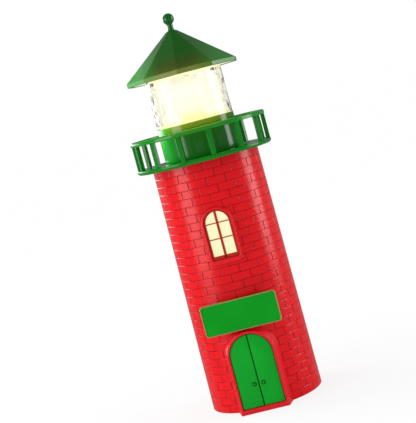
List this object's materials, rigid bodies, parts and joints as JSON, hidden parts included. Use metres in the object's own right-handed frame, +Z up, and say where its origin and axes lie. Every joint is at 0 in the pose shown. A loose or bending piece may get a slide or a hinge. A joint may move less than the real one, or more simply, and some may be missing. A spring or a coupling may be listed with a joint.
{
  "type": "garden lighthouse ornament",
  "caption": "Free-standing lighthouse ornament: brick tower with door, window and blank plate, railed gallery, lit lantern and faceted roof.",
  "frame": {"origin": "centre of the tower's foot on the ground, which is the bottom centre of the box", "axes": "+Z up along the tower's axis, the door and window face -Y"},
  "size_m": [0.136, 0.136, 0.3918],
  "materials": {
    "red_plastic": "glossy moulded brick pattern",
    "gallery_green": "gloss",
    "roof_green": "gloss",
    "door_green": "satin",
    "sign_green": "satin, bare",
    "window_brown": "gloss",
    "cream_pane": "translucent, lit from behind",
    "clear_lens": "clear with a hammered surface",
    "seal_rubber": "matte",
    "screw_steel": "plated",
    "white_plastic": "matte",
    "frosted_plastic": "frosted, glows",
    "led": "lens",
    "circuit_board": "solder mask",
    "wire_red": "insulation",
    "black_plastic": "matte",
    "cell_can": "bare can, set to a cell's density",
    "contact_metal": "plated"
  },
  "bodies": {
    "lighthouse": {"tower_shell": "red_plastic", "door_panel": "door_green", "door_knobs": "door_green", "sign_plate": "sign_green", "window_casement": "window_brown", "window_pane": "cream_pane", "window_board": "circuit_board", "window_leds": "led", "gallery": "gallery_green", "gallery_rail": "gallery_green", "lamp_drum": "gallery_green", "lens_gasket": "seal_rubber", "lens_tube": "clear_lens", "roof_soffit": "roof_green", "roof": "roof_green", "finial": "roof_green", "finial_nut": "screw_steel", "lamp_holder": "white_plastic", "lamp_board": "circuit_board", "lamp_leds": "led", "lamp_diffuser": "frosted_plastic", "lamp_wires": "wire_red", "window_wires": "wire_red", "base_plate": "black_plastic", "battery_box": "black_plastic", "battery_cells": "cell_can", "battery_contacts": "contact_metal", "control_board": "circuit_board", "control_parts": "black_plastic", "switch_body": "black_plastic", "base_screws": "screw_steel", "gallery_screws": "screw_steel", "drum_screws": "screw_steel", "holder_screws": "screw_steel", "roof_screws": "screw_steel"},
    "battery_door": {"battery_door": "black_plastic"},
    "switch_slider": {"switch_slider": "white_plastic"}
  },
  "joints": [
    {"name": "battery_door_hinge", "type": "hinge", "parent": "lighthouse", "child": "battery_door", "pos_m": [0, 0.022, 0.0035], "axis": [1, 0, 0], "range_deg": [0, 100]},
    {"name": "switch_slide", "type": "slide", "parent": "lighthouse", "child": "switch_slider", "axis": [1, 0, 0], "range_m": [0, 0.004]}
  ]
}
